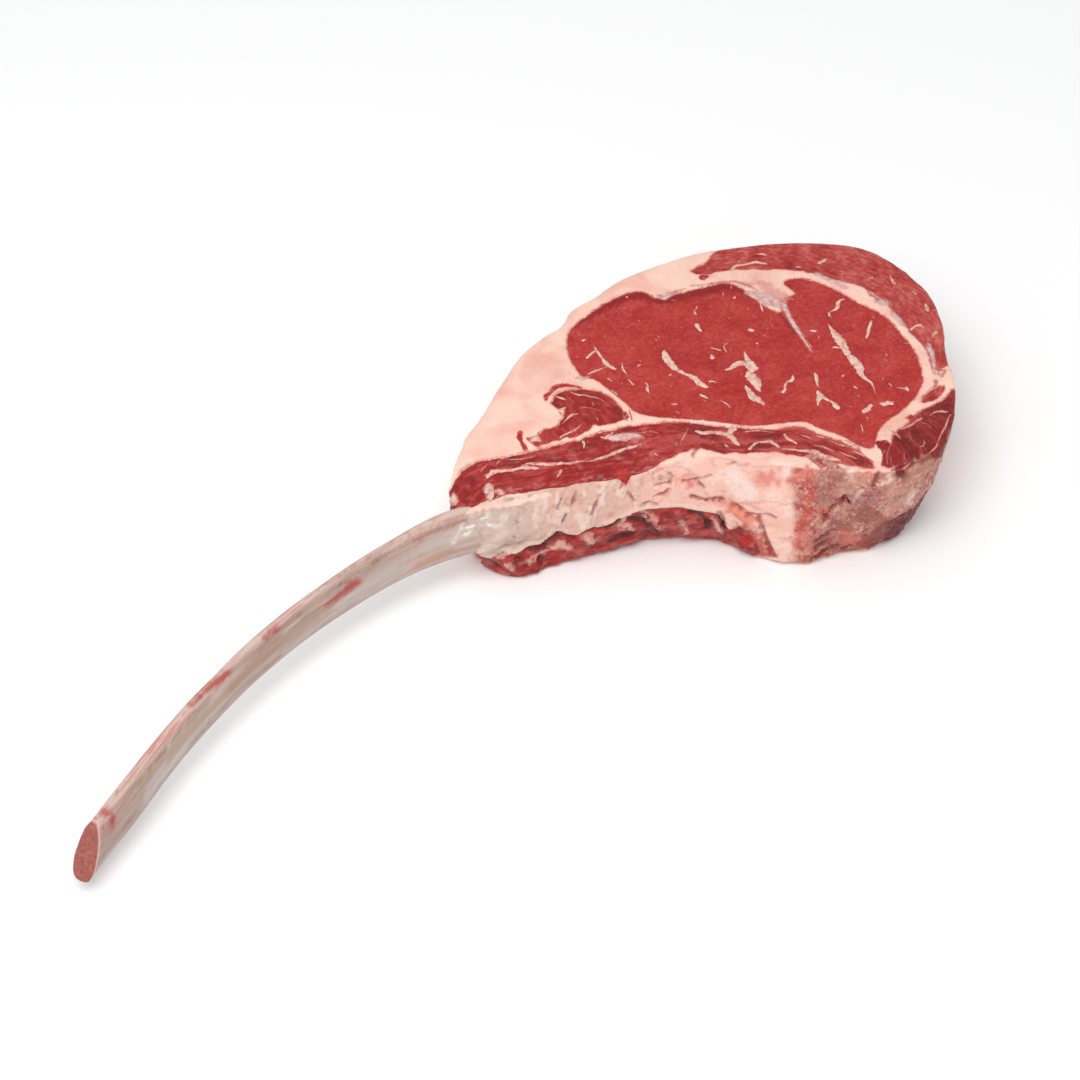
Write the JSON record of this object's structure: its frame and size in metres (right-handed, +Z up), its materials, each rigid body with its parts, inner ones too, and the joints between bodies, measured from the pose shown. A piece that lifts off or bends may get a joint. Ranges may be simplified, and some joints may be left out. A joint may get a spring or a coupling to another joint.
{
  "type": "raw tomahawk steak",
  "caption": "Raw bone-in ribeye steak with its long rib bone left on, lying flat: red eye and cap muscles, creamy fat, rib meat and sawn chine face.",
  "frame": {"origin": "middle of the outline on the lower cut face, which the steak rests on", "axes": "+X from the tip of the rib bone to the eye of the steak, +Y away from the bone side of the meat, +Z up through the steak's thickness"},
  "size_m": [0.475, 0.1739, 0.055],
  "materials": {
    "muscle": "moist raw red muscle",
    "cap_muscle": "moist raw red muscle, coarser and greyer",
    "dark_muscle": "moist dark red muscle",
    "fat": "waxy creamy pink fat",
    "bone": "scraped matt bone",
    "sawn_bone": "sawn spongy bone"
  },
  "bodies": {
    "root": {"eye_muscle": "muscle", "cap_muscle": "cap_muscle", "chine_muscle": "dark_muscle", "seam_sliver": "dark_muscle", "tail_muscle": "dark_muscle", "rib_meat_upper": "dark_muscle", "rib_meat_lower": "dark_muscle", "fat": "fat", "rib_bone": "bone", "chine_bone": "sawn_bone"}
  },
  "joints": []
}
